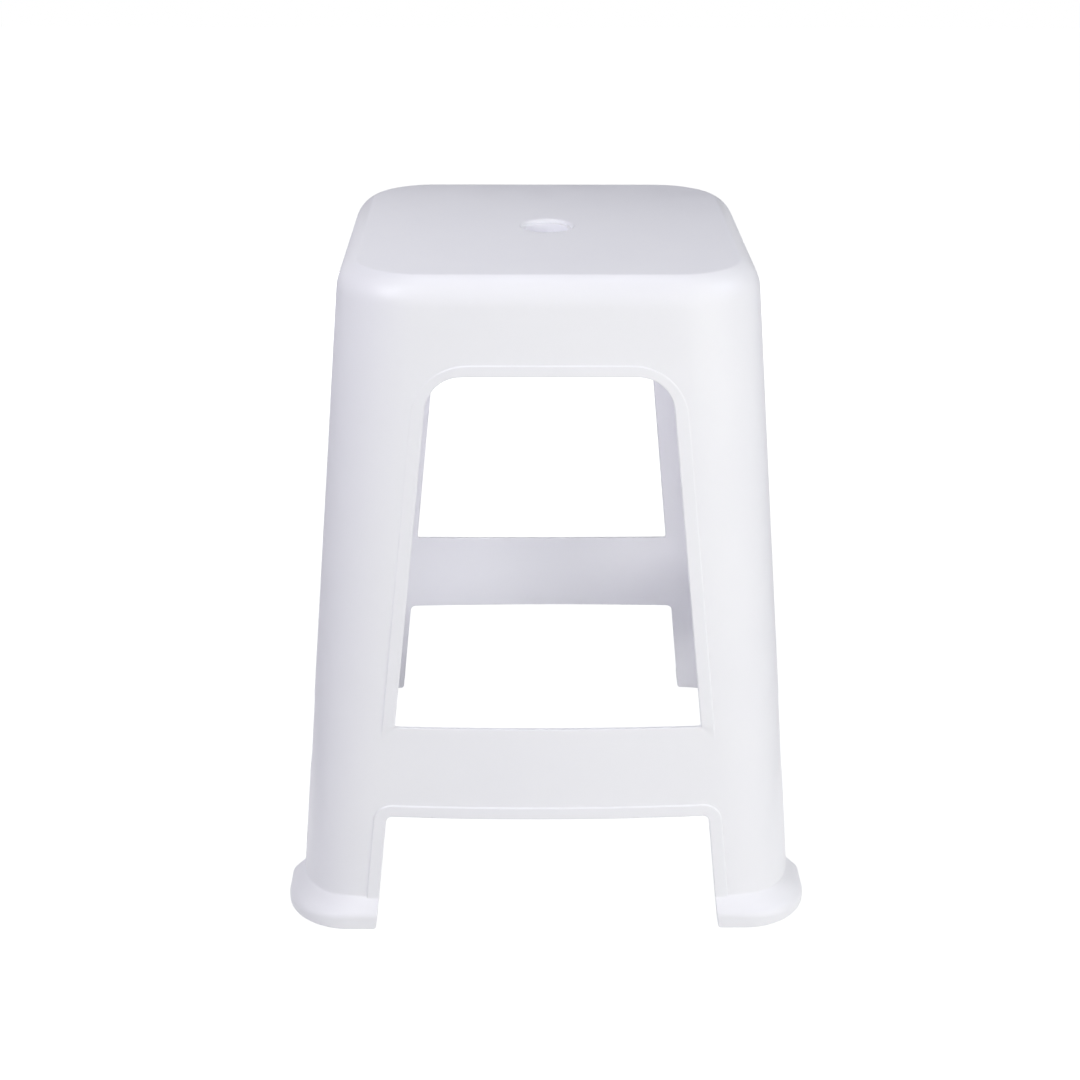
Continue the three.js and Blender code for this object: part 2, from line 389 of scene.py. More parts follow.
def foot_rows(flare):
    """The flared foot's outer and inner rows and its edge's tuck, from above its ledge down to its sole."""
    top_half = side_half(flare.height)
    shoulder_turn = QUARTER - flare.slope
    ledge_half = FOOT_HALF - flare.shoulder * (1 - cos(shoulder_turn))
    ledge_end = Vector((ledge_half, flare.height - (ledge_half - top_half) * tan(flare.slope)))
    shoulder = ledge_end.y - flare.shoulder * sin(shoulder_turn)

    def outer(z, half, drop=0):
        share = min((FOOT_HALF - half) / FLARE_OUT, 1)
        radius = FLARE_CORNER_RADIUS + (corner_radius(z) - FLARE_CORNER_RADIUS) * share
        return Row(z, half, radius, RUNG_BOW * share, drop)

    rows = []
    root = corner_arc(
        Vector((top_half - TAPER * LEDGE_ROOT_RADIUS, flare.height + LEDGE_ROOT_RADIUS)),
        Vector((top_half, flare.height)),
        ledge_end,
        LEDGE_ROOT_RADIUS,
        ROOT_STEPS,
    )[1]
    rows += [outer(point.y, point.x, tan(flare.slope)) for point in root]
    ledge_middle = (root[-1] + ledge_end) / 2
    rows.append(outer(ledge_middle.y, ledge_middle.x))
    for i in range(SHOULDER_STEPS, -1, -1):
        angle = shoulder_turn * i / SHOULDER_STEPS
        half = FOOT_HALF - flare.shoulder * (1 - cos(angle))
        rows.append(outer(shoulder + flare.shoulder * sin(angle), half))
    face_bottom = BODY_BOTTOM + FOOT_EDGE_RADIUS
    rows.append(outer((shoulder + face_bottom) / 2, FOOT_HALF))
    rows.append(outer(face_bottom, FOOT_HALF))
    rows.append(outer(BODY_BOTTOM + FOOT_EDGE_RADIUS / 2, FOOT_HALF))
    pairs = [(row, row_at(row.z), 0) for row in rows]
    for i in range(EDGE_STEPS + 1):
        angle = QUARTER * i / EDGE_STEPS
        z = BODY_BOTTOM + EDGE_RADIUS * (1 - sin(angle))
        tuck = EDGE_RADIUS * (1 - cos(angle))
        pairs.append((outer(z, FOOT_HALF - tuck), row_at(z), tuck))
    return pairs


def lower_spots(flare):
    """Round the lower opening, from the middle of the rung down the leg to the foot's sole."""
    high_middle = Vector((0, RUNG_BOTTOM))
    high = Vector((opening_half(RUNG_BOTTOM), RUNG_BOTTOM))
    foot = Vector((opening_half(BODY_BOTTOM), BODY_BOTTOM))
    beyond = Vector((LEG_SPAN / 2, BODY_BOTTOM))
    corner = corner_spots(
        high_middle, high, foot, RUNG_CORNER_RADIUS, CORNER_STEPS,
        (RIM_RUNG_WIDTH, RIM_SIDE_WIDTH), (1, 1), False,
    )
    start = [Spot(high_middle, UP, UP, RIM_RUNG_WIDTH, 1)]
    top = straight_spots(high_middle, corner[0].point, MIDDLE_STEPS, UP, RIM_RUNG_WIDTH, 1)
    pairs = foot_rows(flare)
    above_foot = Vector((opening_half(FRONT_FLARE.height), FRONT_FLARE.height))
    side = straight_spots(
        corner[-1].point, above_foot, LEG_SIDE_STEPS, SIDE_HEADING, RIM_SIDE_WIDTH, 1
    )
    centre = corner_arc(high, foot, beyond, FOOT_EDGE_RADIUS, 1)[0]
    foot_spots = []
    for pair, far_pair in zip(pairs, foot_rows(CORNER_FLARE)):
        z = pair[0].z
        across = opening_half(z)
        if z < centre.y:
            fall = min(centre.y - z, FOOT_EDGE_RADIUS)
            across = max(across, centre.x - sqrt(FOOT_EDGE_RADIUS ** 2 - fall ** 2))
        raised = 1 if pair[0].drop else 0
        rows = (*pair, *far_pair)
        spot = Spot(Vector((across, z)), SIDE_HEADING, SIDE_HEADING, RIM_SIDE_WIDTH, raised, rows)
        foot_spots.append(spot)
    top = dipped([*start, *top, corner[0]], RUNG_BOTTOM_DIP)
    return top, corner, side + foot_spots


# Patches


class Patches:
    """Quads and other faces of one eighth of the body, as lists of points."""

    def __init__(self):
        self.faces = []

    def grid(self, lines):
        """Quads between neighbouring lines of as many points each."""
        for first, second in zip(lines, lines[1:]):
            for i in range(len(first) - 1):
                self.faces.append((first[i], first[i + 1], second[i + 1], second[i]))

    def face(self, points):
        self.faces.append(tuple(points))


def ring_offsets(spot):
    """The rings' distances from the opening's edge, outermost first, with their rise on the rim."""
    offsets = [(RING_WIDTH, 0)]
    offsets += [(spot.rim + RIM_STEP_HALF * step, rise) for step, rise in RIM_STEP]
    offsets += [(RIM_SIDE_WIDTH / 2, 1), (POCKET_LEVEL, 1)]
    return offsets


def spot_at(spot, offset):
    """Where a ring at an offset passes a spot: distance across and height."""
    squareness = ease(spot.rim + RIM_STEP_HALF, RING_WIDTH, offset)
    heading = spot.heading + (spot.square - spot.heading) * squareness
    return spot.point + heading * offset


def ring_line(spot, proud):
    """The wall's section at a spot, from the outermost ring outside, round the edge, to the one inside."""

    def outside(offset, out):
        across, z = spot_at(spot, offset)
        row = spot.rows[0] if spot.rows else row_at(z)
        return place(across, row, out)

    def inside(offset, depth):
        across, z = spot_at(spot, offset)
        row, tuck = (spot.rows[1], spot.rows[2]) if spot.rows else (row_at(z), 0)
        return place(across, row, depth + tuck - WALL)

    rim = proud * spot.raised
    line = [outside(offset, rim * rise) for offset, rise in ring_offsets(spot)]
    corner = []
    for i in range(EDGE_STEPS + 1):
        angle = QUARTER * i / EDGE_STEPS
        corner.append((EDGE_RADIUS * (1 - sin(angle)), EDGE_RADIUS * (1 - cos(angle))))
    line += [outside(offset, rim - tuck) for offset, tuck in corner]
    face_start = line[-1]
    back = [inside(offset, tuck) for offset, tuck in reversed(corner)]
    for share in FACE_SHARES:
        line.append(face_start + (back[0] - face_start) * share)
    line += back
    line += [inside(offset, 0) for offset, rise in reversed(ring_offsets(spot))]
    return line


def outermost(spot):
    """The last ring's point, as distance across and height."""
    return spot_at(spot, RING_WIDTH)


def leg_lines(across, row, out):
    """Points from the ring's edge to the corner's middle along a row."""
    reach = reach_of(row)
    return [place(across + (reach - across) * i / LEG_COLUMNS, row, out) for i in range(LEG_COLUMNS + 1)]


def foot_line(across, near, far, out):
    """As leg_lines, from the near row by the opening to the far row in the corner's middle."""
    points = []
    for i, ends in enumerate(zip(leg_lines(across, near, out), leg_lines(across, far, out))):
        points.append(ends[0].lerp(ends[1], ease(0, LEG_COLUMNS, i)))
    return points


FOOT_ACROSS = lower_spots(CORNER_FLARE)[2][-1].point.x
POCKET_LEVEL = (POCKET_END - FOOT_ACROSS) / SIDE_HEADING.x
POCKET_OUTER = Row(BODY_BOTTOM, FOOT_HALF, FLARE_CORNER_RADIUS, 0)
POCKET_INNER = Row(BODY_BOTTOM, LEG_SPAN / 2, LEG_CORNER_RADIUS, 0)
SOLE_OUTER_HALF = FOOT_HALF - 2 * EDGE_RADIUS
SOLE_INNER_HALF = side_half(BODY_BOTTOM) - WALL + 2 * EDGE_RADIUS
FACE_SHARES = [
    (SOLE_OUTER_HALF - FOOT_HALF + POCKET_SKIN) / (SOLE_OUTER_HALF - SOLE_INNER_HALF),
    (SOLE_OUTER_HALF - LEG_SPAN / 2) / (SOLE_OUTER_HALF - SOLE_INNER_HALF),
]


def sheet_patches(patches, outer, window, lower):
    """The outer or inner sheet apart from the rings: rung, leg, apron and rounded seat edge."""
    out = 0 if outer else -WALL
    bottom, low_corner, side, high_corner, top = window
    rung_edge, rung_corner, leg_side = lower
    middle = CORNER_STEPS // 2
    top_middle = TOP_CORNER_STEPS // 2

    rung_low = [outermost(spot) for spot in rung_edge + rung_corner[: middle + 1]]
    rung_high = [outermost(spot) for spot in bottom + low_corner[: middle + 1]]
    rung_lines = []
    for i in range(RUNG_ROWS + 1):
        share = i / RUNG_ROWS
        spots = [low + (high - low) * share for low, high in zip(rung_low, rung_high)]
        rung_lines.append([place(across, row_at(z), out) for across, z in spots])
    patches.grid(rung_lines)

    rows = []
    for spot in reversed(leg_side):
        across = outermost(spot).x
        if spot.rows:
            near, far = spot.rows[0::3] if outer else spot.rows[1::3]
            depth = out if outer else out + spot.rows[2]
            rows.append(foot_line(across, near, far, depth))
        else:
            rows.append(leg_lines(across, row_at(outermost(spot).y), out))
    for spot in reversed(rung_corner[middle:]):
        across, z = outermost(spot)
        rows.append(leg_lines(across, row_at(z), out))
    for i in range(1, RUNG_ROWS):
        across, z = rung_low[-1] + (rung_high[-1] - rung_low[-1]) * i / RUNG_ROWS
        rows.append(leg_lines(across, row_at(z), out))
    for spot in low_corner[middle:] + side + high_corner[: top_middle + 1]:
        across, z = outermost(spot)
        rows.append(leg_lines(across, row_at(z), out))
    patches.grid(rows)

    edge_spots = [outermost(spot) for spot in reversed(high_corner[top_middle:] + top)]
    first_row = row_at(edge_spots[0].y)
    start = edge_spots[-1].x
    reach = reach_of(first_row)
    columns = [spot.x for spot in edge_spots]
    columns += [start + (reach - start) * i / LEG_COLUMNS for i in range(1, LEG_COLUMNS + 1)]
    lines = [[place(across, first_row, out) for across in columns]]
    for row, depth in seat_edge_rows(first_row.z, outer):
        scaled = [scaled_across(across, first_row, row) for across in columns]
        lines.append([place(across, row, depth) for across in scaled])
    patches.grid(lines)
    return lines[-1]


def scaled_across(across, first, row):
    """The distance across on another row that is the same share of its flat, or of its corner's arc."""
    flat, new_flat = flat_of(first), flat_of(row)
    if across <= flat:
        return across * new_flat / flat
    return new_flat + (across - flat) * row.radius / first.radius


def seat_edge(inset):
    """Half spans and heights over the seat's edge, inset from its outer face: a wide arc, then a crease."""
    points = []
    for i in range(SEAT_EDGE_ROWS + 1):
        angle = TAPER_ANGLE + (CREASE_START - TAPER_ANGLE) * i / SEAT_EDGE_ROWS
        radius = SEAT_EDGE_RADIUS - inset
        points.append((SEAT_CENTRE_HALF + radius * cos(angle), SEAT_CENTRE + radius * sin(angle)))
    for i in range(1, CREASE_ROWS + 1):
        angle = CREASE_START + SEAT_CREASE * i / CREASE_ROWS
        radius = SEAT_CREASE_RADIUS - inset
        half = SEAT_CENTRE_HALF + CREASE_SHIFT * cos(CREASE_START) + radius * cos(angle)
        points.append((half, SEAT_CENTRE + CREASE_SHIFT * sin(CREASE_START) + radius * sin(angle)))
    return points


def seat_edge_rows(start, outer):
    """Rows from the apron's start up and over the seat's edge, with the depth of each."""
    flat = side_half(SEAT_CENTRE) - corner_radius(SEAT_CENTRE)
    arc_start = SEAT_CENTRE + SEAT_EDGE_RADIUS * sin(TAPER_ANGLE)
    rows = []
    for i in range(1, APRON_ROWS):
        z = start + (arc_start - start) * i / APRON_ROWS
        rows.append((row_at(z), 0 if outer else -WALL))
    rows += [(Row(z, half, half - flat, 0), 0) for half, z in seat_edge(0 if outer else WALL)]
    return rows


def circle_line(like, radius, z):
    """Points of a circle in the directions of the given points."""
    return [Vector((*(unit(Vector((point.x, point.y))) * radius), z)) for point in like]


def seat_patches(patches, top_line, under_line):
    """The seat's top and underside, in to the hole's lip and collar, and the hole, which narrows downwards."""
    lip = HOLE_STEP_RADIUS + HOLE_LIP_RADIUS
    step = STOOL_HEIGHT - HOLE_LIP_RADIUS
    collar = HOLE_BORE_RADIUS + COLLAR_WALL
    collar_bottom = STOOL_HEIGHT - COLLAR_DEPTH
    under = STOOL_HEIGHT - WALL
    profile = []
    for i in range(LIP_STEPS + 1):
        angle = QUARTER * i / LIP_STEPS
        fall = HOLE_LIP_RADIUS * (1 - cos(angle))
        profile.append((lip - HOLE_LIP_RADIUS * sin(angle), STOOL_HEIGHT - fall))
    for i in range(EDGE_STEPS + 1):
        angle = QUARTER * i / EDGE_STEPS
        reach = HOLE_MOUTH_RADIUS + HOLE_STEP_EDGE_RADIUS * (1 - sin(angle))
        profile.append((reach, step - HOLE_STEP_EDGE_RADIUS * (1 - cos(angle))))
    profile.append(((HOLE_MOUTH_RADIUS + HOLE_BORE_RADIUS) / 2, (STOOL_HEIGHT + collar_bottom) / 2))
    for turn in (-QUARTER, 0):
        side = HOLE_BORE_RADIUS + EDGE_RADIUS if turn else collar - EDGE_RADIUS
        for i in range(EDGE_STEPS + 1):
            angle = turn + QUARTER * i / EDGE_STEPS
            reach = side + EDGE_RADIUS * sin(angle)
            profile.append((reach, collar_bottom + EDGE_RADIUS * (1 - cos(angle))))
    for i in range(EDGE_STEPS + 1):
        angle = QUARTER * i / EDGE_STEPS
        reach = collar + COLLAR_ROOT_RADIUS * (1 - cos(angle))
        profile.append((reach, under - COLLAR_ROOT_RADIUS * (1 - sin(angle))))
    patches.grid([circle_line(top_line, radius, z) for radius, z in profile])
    for line, circle in (
        (top_line, circle_line(top_line, *profile[0])),
        (under_line, circle_line(top_line, *profile[-1])),
    ):
        lines = []
        for i in range(SEAT_ROWS + 1):
            share = i / SEAT_ROWS
            lines.append([start + (end - start) * share for start, end in zip(line, circle)])
        patches.grid(lines)


def sole_patches(patches, edge_line):
    """The foot's sole, with the pocket that holds its pad."""
    edge = lower_spots(CORNER_FLARE)[2][-1]
    outer_row, inner_row, tuck = edge.rows[:3]
    offsets = ring_offsets(edge)
    starts = [spot_at(edge, offset).x for offset, rise in reversed(offsets)]

    def line(row, out=0.0):
        return [place(across, row, out) for across in starts[:-1]] + leg_lines(starts[-1], row, out)

    roof = BODY_BOTTOM + POCKET_DEPTH
    outer_edge, inner_edge = line(outer_row), line(inner_row, tuck - WALL)
    outer_wall, inner_wall = line(POCKET_OUTER, -POCKET_SKIN), line(POCKET_INNER)
    outer_roof = [Vector((point.x, point.y, roof - POCKET_SLANT)) for point in outer_wall]
    inner_roof = [Vector((point.x, point.y, roof)) for point in inner_wall]
    patches.grid([outer_edge, outer_wall])
    patches.grid([inner_wall, inner_edge])
    patches.grid([outer_wall, outer_roof, inner_roof, inner_wall])
    patches.face([outer_wall[0], outer_roof[0], inner_roof[0], inner_wall[0]])
    round_the_end = edge_line[len(offsets) - 1 : len(edge_line) - len(offsets) + 1]
    patches.face([*round_the_end, inner_wall[0], outer_wall[0]])


def body_eighth(proud, flare):
    """Half of one side, with rims of a height and feet of a section by the opening."""
    patches = Patches()
    window = window_spots()
    lower = lower_spots(flare)
    window_lines = [ring_line(spot, proud) for part in window for spot in part]
    lower_lines = [ring_line(spot, proud) for part in lower for spot in part]
    patches.grid(window_lines)
    patches.grid(lower_lines)
    top_line = sheet_patches(patches, True, window, lower)
    under_line = sheet_patches(patches, False, window, lower)
    seat_patches(patches, top_line, under_line)
    sole_patches(patches, lower_lines[-1])
    return patches.faces


def pad_eighth():
    """Half of a foot's pad: a band with rounded edges, from its end by the opening to the corner's middle."""
    low, high = pad_low.z / MM, pad_high.z / MM
    start = POCKET_END + PAD_CLEARANCE
    outer_face = -POCKET_SKIN - PAD_CLEARANCE
    # Each edge of the band: its row, its face's place, the way into the band, its level and the way up into it
    corners = (
        (POCKET_OUTER, outer_face, -1, low, 1),
        (POCKET_OUTER, outer_face, -1, high - POCKET_SLANT, -1),
        (POCKET_INNER, PAD_CLEARANCE, 1, high, -1),
        (POCKET_INNER, PAD_CLEARANCE, 1, low, 1),
    )

    def loop(margin, depth, share):
        points = []
        for index, (row, face, inward, level, upward) in enumerate(corners):
            across = start + depth + (reach_of(row) - start - depth) * share
            for i in range(EDGE_STEPS + 1):
                shares = sin(QUARTER * i / EDGE_STEPS), cos(QUARTER * i / EDGE_STEPS)
                tuck, rise = [margin + (PAD_EDGE_RADIUS - margin) * (1 - part) for part in shares]
                if index % 2:
                    tuck, rise = rise, tuck
                points.append(place(across, row._replace(z=level + upward * rise), face + inward * tuck))
        return points + points[:1]

    ends = []
    for i in range(EDGE_STEPS + 1):
        angle = QUARTER * i / EDGE_STEPS
        ends.append((PAD_EDGE_RADIUS * (1 - sin(angle)), PAD_EDGE_RADIUS * (1 - cos(angle))))
    lines = [loop(margin, depth, 0) for margin, depth in ends]
    lines += [loop(0, PAD_EDGE_RADIUS, i / PAD_COLUMNS) for i in range(1, PAD_COLUMNS + 1)]
    patches = Patches()
    patches.grid(lines)
    patches.face(lines[0][:-1])
    return patches.faces


MIRROR_ACROSS = Matrix.Diagonal((-1, 1, 1, 1))
MIRROR_CORNER = Matrix(((0, -1, 0, 0), (-1, 0, 0, 0), (0, 0, 1, 0), (0, 0, 0, 1)))


def whole_mesh(name, parts):
    """One mesh of faces, each mirrored and turned by quarter turns. A part is (faces, mirror, turns)."""
    made = bmesh.new()
    for faces, mirror, turns in parts:
        for turn in turns:
            turned = Matrix.Rotation(turn * QUARTER, 4, "Z")
            for change in (turned, turned @ mirror):
                for face in faces:
                    made.faces.new([made.verts.new(change @ point * MM) for point in face])
    bmesh.ops.remove_doubles(made, verts=made.verts, dist=WELD * MM)
    bmesh.ops.recalc_face_normals(made, faces=made.faces)
    return finished_mesh(name, made)


def finished_mesh(name, made):
    mesh = bpy.data.meshes.new(name)
    made.to_mesh(mesh)
    made.free()
    return mesh


def mesh_object(name, mesh):
    piece = bpy.data.objects.new(name, mesh)
    bpy.context.scene.collection.objects.link(piece)
    return piece


def stiffener():
    """A rib under the seat from wall to wall, with its two ends down as stacking stops, across the middle."""
    rib_bottom = STOOL_HEIGHT - WALL - RIB_DEPTH
    stop_bottom = STOOL_HEIGHT - STACK_PITCH
    tip = side_half(stop_bottom) - STOP_REACH
    middle = WALL / 2 / cos(TAPER_ANGLE)
    free = [
        (tip - STOP_SLANT, rib_bottom),
        (tip, stop_bottom),
        (side_half(stop_bottom) - middle, stop_bottom),
    ]
    within = seat_edge(WALL / 2)
    half = free + within
    outline = half + [(-across, z) for across, z in reversed(half)]
    made = bmesh.new()
    sides = []
    for depth in (-RIB_THICKNESS / 2, RIB_THICKNESS / 2):
        sides.append([made.verts.new(Vector((across, depth, z)) * MM) for across, z in outline])
    made.faces.new(sides[0])
    made.faces.new(sides[1][::-1])
    for i in range(len(outline)):
        j = (i + 1) % len(outline)
        made.faces.new((sides[0][i], sides[0][j], sides[1][j], sides[1][i]))
    bmesh.ops.recalc_face_normals(made, faces=made.faces)
    low = (rib_bottom + WALL / 2) * MM
    bare = [edge for edge in made.edges if all(vertex.co.z < low for vertex in edge.verts)]
    bmesh.ops.bevel(
        made, geom=bare, offset=RIB_EDGE_RADIUS * MM, segments=EDGE_STEPS, profile=ROUND_PROFILE, affect="EDGES"
    )
    return made


def make_ribs():
    """Four ribs as a grid, two each way."""
    ribs = []
    for turn in range(4):
        made = stiffener()
        shift = Matrix.Translation(Vector((0, RIB_SPACING / 2, 0)) * MM)
        made.transform(Matrix.Rotation(turn * QUARTER, 4, "Z") @ shift)
        ribs.append(mesh_object("rib", finished_mesh("rib", made)))
    return ribs


def unite(piece, others):
    """Makes the others one solid with the piece."""
    for other in others:
        joining = piece.modifiers.new("joining", "BOOLEAN")
        joining.operation = "UNION"
        joining.solver = "MANIFOLD"
        joining.object = other
    graph = bpy.context.evaluated_depsgraph_get()
    joined = bpy.data.meshes.new_from_object(piece.evaluated_get(graph))
    piece.modifiers.clear()
    piece.data = joined
    for other in others:
        bpy.data.objects.remove(other)


def smooth(piece, limit):
    """Smooth shading that stays sharp over edges steeper than the limit, and lies flat on large faces."""
    for polygon in piece.data.polygons:
        polygon.use_smooth = True
    piece.data.set_sharp_from_angle(angle=limit)
    weighted = piece.modifiers.new("weighted", "WEIGHTED_NORMAL")
    weighted.keep_sharp = True


def make_body():
    parts = [
        (body_eighth(RIM_PROUD, FRONT_FLARE), MIRROR_ACROSS, (0, 2)),
        (body_eighth(RIM_PROUD_AT_SIDES, SIDE_FLARE), MIRROR_ACROSS, (1, 3)),
    ]
    body = mesh_object("stool_shell", whole_mesh("stool_shell", parts))
    unite(body, make_ribs())
    smooth(body, SHARP)
    return body


def make_pad(name, turn):
    pad = mesh_object(name, whole_mesh(name, [(pad_eighth(), MIRROR_CORNER, (turn,))]))
    smooth(pad, SHARP)
    return pad


# Materials


WHITE = (1, 1, 1, 1)
PLASTIC_DEEP = (0.885, 0.89, 0.905)
PLASTIC_PALE = (0.905, 0.91, 0.92)
PLASTIC_ROUGHNESS = (0.34, 0.44)
PLASTIC_IOR = 1.49
RUBBER_DEEP = (0.58, 0.59, 0.61)
RUBBER_PALE = (0.66, 0.67, 0.69)
RUBBER_ROUGHNESS = (0.7, 0.85)

# Each noise's scale, detail and roughness
MOULD_CLOUD = (9, 3, 0.5)
MOULD_RIPPLE = (22, 1, 0.5)
RUBBED_PATCHES = (38, 4, 0.6)
PLASTIC_GRAIN = (2600, 2, 0.5)
RUBBER_DUST = (60, 4, 0.6)
RUBBER_GRAIN = (1500, 2, 0.5)

# The part of a noise's range that is used, and each bump's strength and height in metres
NOISE_RANGE = (0.3, 0.7)
DUST_RANGE = (0.35, 0.7)
RIPPLE_BUMP = (0.25, 0.0006)
GRAIN_BUMP = (0.12, 0.00006)
RUBBER_BUMP = (0.4, 0.0002)


def new_material(name):
    material = bpy.data.materials.new(name)
    material.use_nodes = True
    return material, material.node_tree


def linked(tree, kind, **settings):
    """A node with its settings. An input is given as in_ and its name or number, and is linked or set."""
    node = tree.nodes.new(kind)
    for name, value in settings.items():
        if not name.startswith("in_"):
            setattr(node, name, value)
    for name, value in settings.items():
        if not name.startswith("in_"):
            continue
        key = name[3:]
        socket = node.inputs[int(key)] if key.isdigit() else node.inputs[key]
        if isinstance(value, bpy.types.NodeSocket):
            tree.links.new(value, socket)
        else:
            socket.default_value = value
    return node


def noise(tree, scale, detail, roughness):
    place_in = tree.nodes.new("ShaderNodeTexCoord").outputs["Object"]
    node = linked(
        tree, "ShaderNodeTexNoise", in_Vector=place_in, in_Scale=scale, in_Detail=detail, in_Roughness=roughness
    )
    return node.outputs["Fac"]


def spread(tree, value, low, high, to_low, to_high):
    """Takes a value's range to another, without going past its ends."""
    node = tree.nodes.new("ShaderNodeMapRange")
    tree.links.new(value, node.inputs["Value"])
    for name, number in (("From Min", low), ("From Max", high), ("To Min", to_low), ("To Max", to_high)):
        node.inputs[name].default_value = number
    return node.outputs["Result"]


def blend_colours(tree, share, first, second):
    node = tree.nodes.new("ShaderNodeMix")
    node.data_type = "RGBA"
    tree.links.new(share, node.inputs["Factor"])
    node.inputs[6].default_value = (*first, 1)
    node.inputs[7].default_value = (*second, 1)
    return node.outputs[2]


def bump(tree, height, strength, distance, **below):
    """The normal of a bumpy surface, over the bump below it if that is given as in_Normal."""
    node = linked(tree, "ShaderNodeBump", in_Strength=strength, in_Distance=distance, in_Height=height, **below)
    return node.outputs["Normal"]


def plastic():
    """Satin white polypropylene: a faint unevenness from the mould, fine grain and rubbed patches."""
    material, tree = new_material("white_plastic")
    shader = tree.nodes["Principled BSDF"]
    cloud = noise(tree, *MOULD_CLOUD)
    patches = noise(tree, *RUBBED_PATCHES)
    colour = blend_colours(tree, spread(tree, cloud, *NOISE_RANGE, 0, 1), PLASTIC_DEEP, PLASTIC_PALE)
    tree.links.new(colour, shader.inputs["Base Color"])
    tree.links.new(spread(tree, patches, *NOISE_RANGE, *PLASTIC_ROUGHNESS), shader.inputs["Roughness"])
    coarse = bump(tree, noise(tree, *MOULD_RIPPLE), *RIPPLE_BUMP)
    fine = bump(tree, noise(tree, *PLASTIC_GRAIN), *GRAIN_BUMP, in_Normal=coarse)
    tree.links.new(fine, shader.inputs["Normal"])
    shader.inputs["IOR"].default_value = PLASTIC_IOR
    return material


def rubber():
    """Matt grey rubber with fine grain and dusty patches."""
    material, tree = new_material("pad_rubber")
    shader = tree.nodes["Principled BSDF"]
    dust = noise(tree, *RUBBER_DUST)
    colour = blend_colours(tree, spread(tree, dust, *DUST_RANGE, 0, 1), RUBBER_DEEP, RUBBER_PALE)
    tree.links.new(colour, shader.inputs["Base Color"])
    tree.links.new(spread(tree, dust, *NOISE_RANGE, *RUBBER_ROUGHNESS), shader.inputs["Roughness"])
    tree.links.new(bump(tree, noise(tree, *RUBBER_GRAIN), *RUBBER_BUMP), shader.inputs["Normal"])
    return material


body = make_body()
body.data.materials.clear()
body.data.materials.append(plastic())
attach(body, "root")
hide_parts("stool_body")

PAD_TURNS = (("front_right", 0), ("rear_right", 1), ("rear_left", 2), ("front_left", 3))
pad_material = rubber()
for corner, turn in PAD_TURNS:
    pad = make_pad("anti_slip_pad_" + corner, turn)
    pad.data.materials.append(pad_material)
    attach(pad, "root")
    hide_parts("foot_pad_" + corner)


# Camera, floor and light

CAMERA_PLACE = Vector((-21.6, -1258.9, 764.6))
CAMERA_PITCH = radians(23.60)
CAMERA_YAW = radians(0.815)
CAMERA_ROLL = radians(0.245)
FOCAL_PIXELS = 1866.8
PHOTO_PIXELS = 1080
SENSOR = 36

# Floor, in metres. Its glow grows to full white over the shadow's reach
FLOOR_REACH = 4
SHADOW_REACH = (0.5, 1.1)
FLOOR_GLOW = 0.93
FLOOR_PALE = (0.8, 0.8, 0.8, 1)
FLOOR_DIM = (0.2, 0.2, 0.2, 1)

# Each card's name, middle, width and depth, turns about X and Y in degrees, and grey
CARDS = (
    ("card_left", (-680, 430, 240), (900, 1250), (21, 0), 0.6),
    ("card_right", (680, 430, 240), (900, 1250), (21, 0), 0.6),
    ("card_back", (0, 170, 461), (340, 36), (90, -3.1), 0.1),
)
CARD_ROUGHNESS = 0.9

AMBIENT_STRENGTH = 0.1
STOOL_MIDDLE = (0, 0, 250)
LAMP_SIZE = 600

# Each lamp's name, place, aim, size, strength and colour, and whether surfaces show it as a gloss
LAMPS = (
    ("left_top", (-636, -706, 1659), STOOL_MIDDLE, LAMP_SIZE, 2.5, (1, 1, 1), True),
    ("back_low", (0, 1500, 300), STOOL_MIDDLE, LAMP_SIZE, 10, (0.95, 0.95, 1), False),
    ("left_high", (-1026, -861, 1297), STOOL_MIDDLE, LAMP_SIZE, 7.7, (0.93, 0.94, 1), True),
    ("front_low", (703, -1507, 604), STOOL_MIDDLE, LAMP_SIZE, 6.7, (1, 0.98, 1), False),
    ("right_low", (1274, -1069, 604), STOOL_MIDDLE, LAMP_SIZE, 6.7, (0.99, 1, 0.92), False),
    ("right_side", (1319, -233, 1297), STOOL_MIDDLE, LAMP_SIZE, 4.9, (0.77, 0.77, 1), True),
    ("inside", (0, -100, 300), (0, 200, 250), 160, 0.1, (0.76, 0.7, 1), False),
    ("left_side", (-1319, -233, 1297), STOOL_MIDDLE, LAMP_SIZE, 4.2, (0.82, 0.75, 1), False),
    ("overhead", (0, 0, 2000), STOOL_MIDDLE, LAMP_SIZE, 3.9, (0.95, 0.945, 1), True),
)


def make_camera():
    camera = bpy.data.cameras.new("camera")
    camera.sensor_width = SENSOR
    camera.lens = SENSOR * FOCAL_PIXELS / PHOTO_PIXELS
    holder = bpy.data.objects.new("camera", camera)
    bpy.context.scene.collection.objects.link(holder)
    ahead = Vector((
        sin(CAMERA_YAW) * cos(CAMERA_PITCH), cos(CAMERA_YAW) * cos(CAMERA_PITCH), -sin(CAMERA_PITCH),
    ))
    level = Vector((cos(CAMERA_YAW), -sin(CAMERA_YAW), 0))
    upright = level.cross(ahead)
    right = level * cos(CAMERA_ROLL) + upright * sin(CAMERA_ROLL)
    above = upright * cos(CAMERA_ROLL) - level * sin(CAMERA_ROLL)
    axes = Matrix((right, above, -ahead)).transposed().to_4x4()
    holder.matrix_world = Matrix.Translation(CAMERA_PLACE * MM) @ axes
    bpy.context.scene.camera = holder


